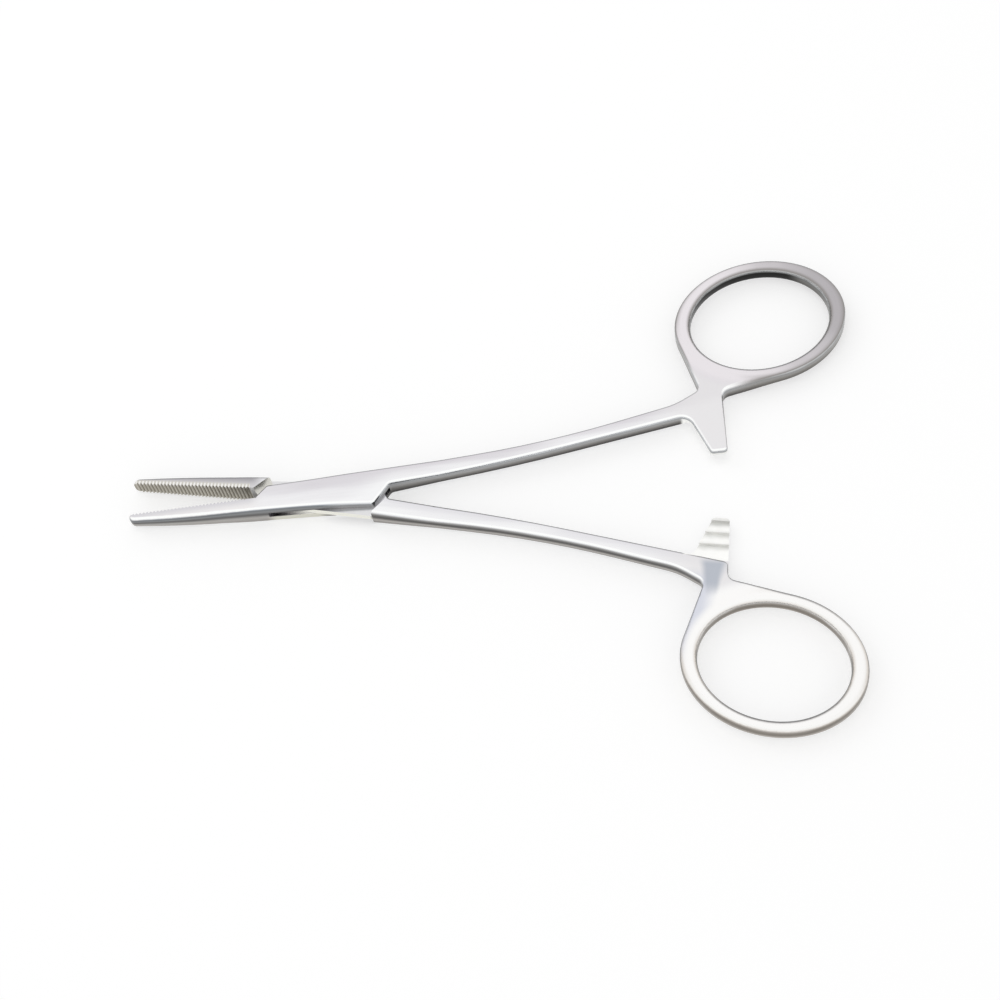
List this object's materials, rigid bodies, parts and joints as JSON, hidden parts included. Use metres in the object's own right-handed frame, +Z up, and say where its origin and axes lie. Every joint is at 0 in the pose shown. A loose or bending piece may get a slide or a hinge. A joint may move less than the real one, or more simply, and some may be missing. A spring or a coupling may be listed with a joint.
{
  "type": "hemostat forceps",
  "caption": "Straight mosquito-pattern hemostat forceps: serrated jaws, box lock on a flush pin, bowed shanks, ratchet catch and oval finger rings.",
  "frame": {"origin": "pivot axis at the back face of the box lock, the lowest plane of the part as it lies", "axes": "+X from the pivot along the centre line towards the finger rings, +Y towards the ring of the box half, +Z up through the thickness"},
  "size_m": [0.1185, 0.0863, 0.0044],
  "materials": {
    "box_half_steel": "polished stainless steel",
    "male_half_steel": "polished stainless steel, ratchet teeth matt",
    "pin_steel": "ground flush and polished with the box"
  },
  "bodies": {
    "box_body": {"box_half": "box_half_steel", "pivot_pin": "pin_steel"},
    "male_body": {"male_half": "male_half_steel"}
  },
  "joints": [
    {"name": "box_lock_pivot", "type": "hinge", "parent": "box_body", "child": "male_body", "pos_m": [0, 0, 0.0022], "axis": [0, 0, 1], "range_deg": [-30, 11]}
  ]
}
